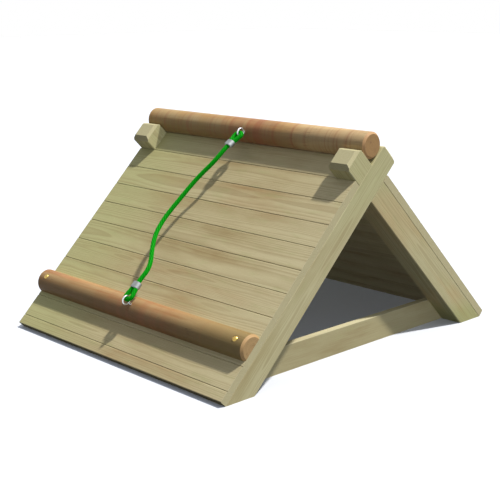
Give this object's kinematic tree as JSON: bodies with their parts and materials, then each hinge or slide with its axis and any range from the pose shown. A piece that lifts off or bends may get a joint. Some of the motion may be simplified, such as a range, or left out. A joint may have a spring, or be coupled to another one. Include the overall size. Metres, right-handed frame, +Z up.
{
  "type": "climbing triangle",
  "caption": "Free-standing wooden climbing ramp: two half-lapped A-frames boarded on both slopes, a ridge log, a half-round foot rail and a climbing rope between two eye bolts.",
  "frame": {"origin": "on the floor, under the middle of the ridge log", "axes": "+X along the ridge towards the end nearer the camera, +Y from the climbing face to the back, +Z up"},
  "size_m": [1.25, 1.505, 0.8539],
  "materials": {
    "post_timber": "sawn and planed, green-tinted pressure-treated softwood",
    "board_timber": "planed, green-tinted pressure-treated softwood",
    "log_timber": "turned, orange-brown treated softwood",
    "tie_timber": "planed treated softwood",
    "yellow_bolt": "yellow passivated",
    "eye_steel": "bright zinc plated",
    "zinc_steel": "zinc plated",
    "nail_steel": "galvanised",
    "ferrule_alloy": "pressed, satin",
    "rope_fibre": "braided synthetic cover over a steel-cored rope"
  },
  "bodies": {
    "frame": {"front_post_left": "post_timber", "front_post_right": "post_timber", "back_post_left": "post_timber", "back_post_right": "post_timber", "front_board_1": "board_timber", "front_board_2": "board_timber", "front_board_3": "board_timber", "front_board_4": "board_timber", "front_board_5": "board_timber", "front_board_6": "board_timber", "front_board_7": "board_timber", "front_board_8": "board_timber", "front_board_9": "board_timber", "front_board_10": "board_timber", "back_board_1": "board_timber", "back_board_2": "board_timber", "back_board_3": "board_timber", "back_board_4": "board_timber", "back_board_5": "board_timber", "back_board_6": "board_timber", "back_board_7": "board_timber", "back_board_8": "board_timber", "back_board_9": "board_timber", "back_board_10": "board_timber", "front_ridge_board": "board_timber", "back_ridge_board": "board_timber", "ridge_log": "log_timber", "foot_rail": "log_timber", "tie_left": "tie_timber", "tie_right": "tie_timber", "rail_bolts": "yellow_bolt", "rail_washers": "zinc_steel", "rail_nuts": "zinc_steel", "ridge_eye": "eye_steel", "ridge_eye_washer": "zinc_steel", "ridge_eye_nut": "zinc_steel", "rail_eye": "eye_steel", "rail_eye_washer": "zinc_steel", "rail_eye_nut": "zinc_steel", "lap_screws": "zinc_steel", "ridge_screws": "zinc_steel", "tie_screws": "zinc_steel", "front_nails": "nail_steel", "back_nails": "nail_steel"},
    "rope": {"rope": "rope_fibre", "rope_loop_top": "rope_fibre", "rope_loop_bottom": "rope_fibre", "ferrule_top": "ferrule_alloy", "ferrule_bottom": "ferrule_alloy"}
  },
  "joints": [
    {"name": "rope_swing", "type": "hinge", "parent": "frame", "child": "rope", "pos_m": [0, -0.07, 0.80401], "axis": [0, -0.7169, -0.6972], "range_deg": [-12, 12]}
  ]
}
